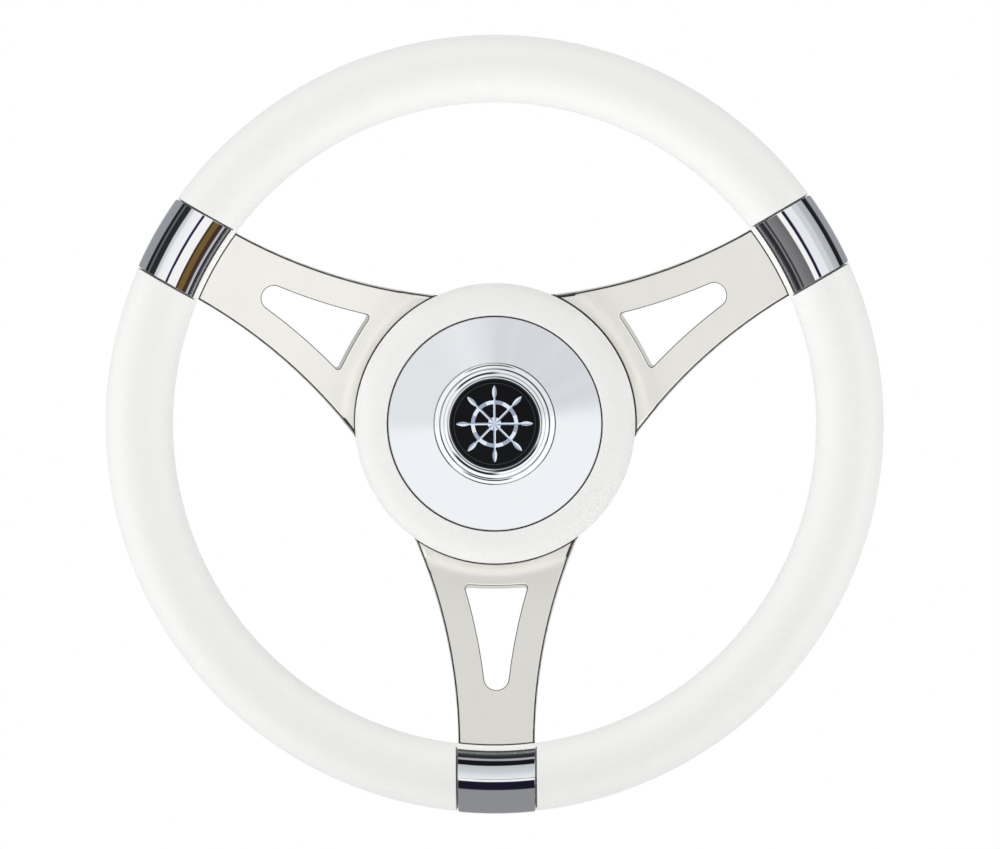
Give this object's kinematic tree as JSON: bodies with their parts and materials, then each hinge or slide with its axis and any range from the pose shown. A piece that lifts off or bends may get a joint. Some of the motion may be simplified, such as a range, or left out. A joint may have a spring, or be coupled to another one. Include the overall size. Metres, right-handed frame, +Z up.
{
  "type": "boat steering wheel",
  "caption": "White soft-rimmed boat steering wheel with slotted stainless arms, chromed clips at the rim, and a padded hub with a polished disc, chromed cap and black domed badge.",
  "frame": {"origin": "centre of the boss's rear face, where the helm shaft enters its taper", "axes": "+Y along the helm shaft and out of the back of the wheel, so the face looks to -Y; +Z up, opposite the lowest arm; +X to the driver's right"},
  "size_m": [0.35, 0.0911, 0.3503],
  "materials": {
    "white_moulding": "matt, fine leather grain",
    "plate_steel": "satin, with darker cut edges",
    "core_steel": "plain tube",
    "screw_steel": "plain",
    "clip_chrome": "mirror",
    "cap_chrome": "mirror",
    "disc_steel": "polished, faint turned rings",
    "boss_aluminium": "turned",
    "cover_plastic": "matt",
    "carrier_plastic": "matt",
    "grommet_rubber": "matt",
    "badge_black": "high gloss, domed",
    "emblem_silver": "pale silver, under gloss"
  },
  "bodies": {
    "root": {"spider_plate": "plate_steel", "hub_boss": "boss_aluminium", "hub_screws": "screw_steel", "rear_cover": "cover_plastic", "rim_core": "core_steel", "rim_grip": "white_moulding", "clip_front_bottom": "clip_chrome", "clip_front_right": "clip_chrome", "clip_front_left": "clip_chrome", "clip_rear_bottom": "clip_chrome", "clip_rear_right": "clip_chrome", "clip_rear_left": "clip_chrome", "clip_screws": "screw_steel", "pad_carrier": "carrier_plastic", "stud_grommets": "grommet_rubber", "hub_pad": "white_moulding", "face_disc": "disc_steel", "cap_bezel": "cap_chrome", "cap_o_ring": "grommet_rubber", "badge_plate": "badge_black", "badge_emblem": "emblem_silver"}
  },
  "joints": []
}
